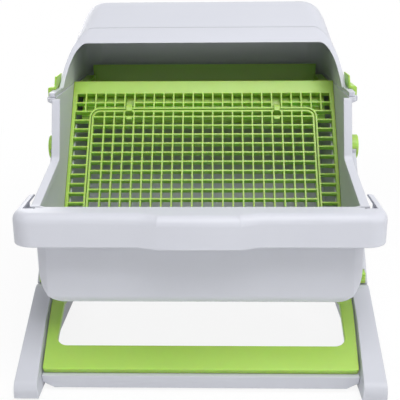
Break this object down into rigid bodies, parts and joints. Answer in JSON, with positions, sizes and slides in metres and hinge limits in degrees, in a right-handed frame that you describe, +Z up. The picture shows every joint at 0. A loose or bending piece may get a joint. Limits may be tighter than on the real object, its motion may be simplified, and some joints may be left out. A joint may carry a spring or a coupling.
{
  "type": "rotating_litter_box",
  "caption": "Rotating cat litter box: a deep tub with a hinged sieve, waste tray and clip-on hood tips back on pivots carried by a low folding-style stand.",
  "frame": {"origin": "middle of the part's footprint, on the floor under the foot pads", "axes": "+X to the right seen from the front, +Y to the back, +Z up; the open front of the tub faces -Y"},
  "size_m": [0.4682, 0.53, 0.461],
  "materials": {
    "shell_grey": "fine satin moulded polypropylene, pale bluish grey",
    "stand_grey": "fine satin moulded polypropylene, pale bluish grey",
    "lime": "satin moulded polypropylene, lime green",
    "bush_white": "smooth white acetal",
    "pin_steel": "drawn steel pin",
    "pad_rubber": "matt black rubber"
  },
  "bodies": {
    "stand": {"left_rail": "stand_grey", "right_rail": "stand_grey", "left_post": "stand_grey", "right_post": "stand_grey", "left_bush": "bush_white", "right_bush": "bush_white", "left_pivot_cap": "lime", "right_pivot_cap": "lime", "front_frame": "lime", "front_crossbar": "stand_grey", "rear_crossbar": "stand_grey", "foot_pads": "pad_rubber"},
    "box": {"tub": "shell_grey", "left_trunnion": "shell_grey", "right_trunnion": "shell_grey", "sieve_plate": "lime", "waste_tray": "lime", "hood": "shell_grey", "left_latch_pin": "pin_steel", "right_latch_pin": "pin_steel"},
    "flap_door": {"flap": "lime"},
    "latch_l": {"left_latch": "lime"},
    "latch_r": {"right_latch": "lime"},
    "clip_l": {"left_clip": "lime"},
    "clip_r": {"right_clip": "lime"}
  },
  "joints": [
    {"name": "box_tip", "type": "hinge", "parent": "stand", "child": "box", "pos_m": [0, 0.04, 0.252], "axis": [-1, 0, 0], "range_deg": [0, 100]},
    {"name": "flap_hinge", "type": "hinge", "parent": "box", "child": "flap_door", "pos_m": [0, 0.05491, 0.30775], "axis": [-1, 0, 0], "range_deg": [0, 70]},
    {"name": "latch_left", "type": "hinge", "parent": "box", "child": "latch_l", "pos_m": [-0.215, -0.003, 0.337], "axis": [0, -1, 0], "range_deg": [0, 75]},
    {"name": "latch_right", "type": "hinge", "parent": "box", "child": "latch_r", "pos_m": [0.215, -0.003, 0.337], "axis": [0, 1, 0], "range_deg": [0, 75]},
    {"name": "clip_left", "type": "slide", "parent": "stand", "child": "clip_l", "axis": [0, 1, 0], "range_m": [0, 0.003], "stiffness_N_per_m": 400},
    {"name": "clip_right", "type": "slide", "parent": "stand", "child": "clip_r", "axis": [0, 1, 0], "range_m": [0, 0.003], "stiffness_N_per_m": 400}
  ]
}
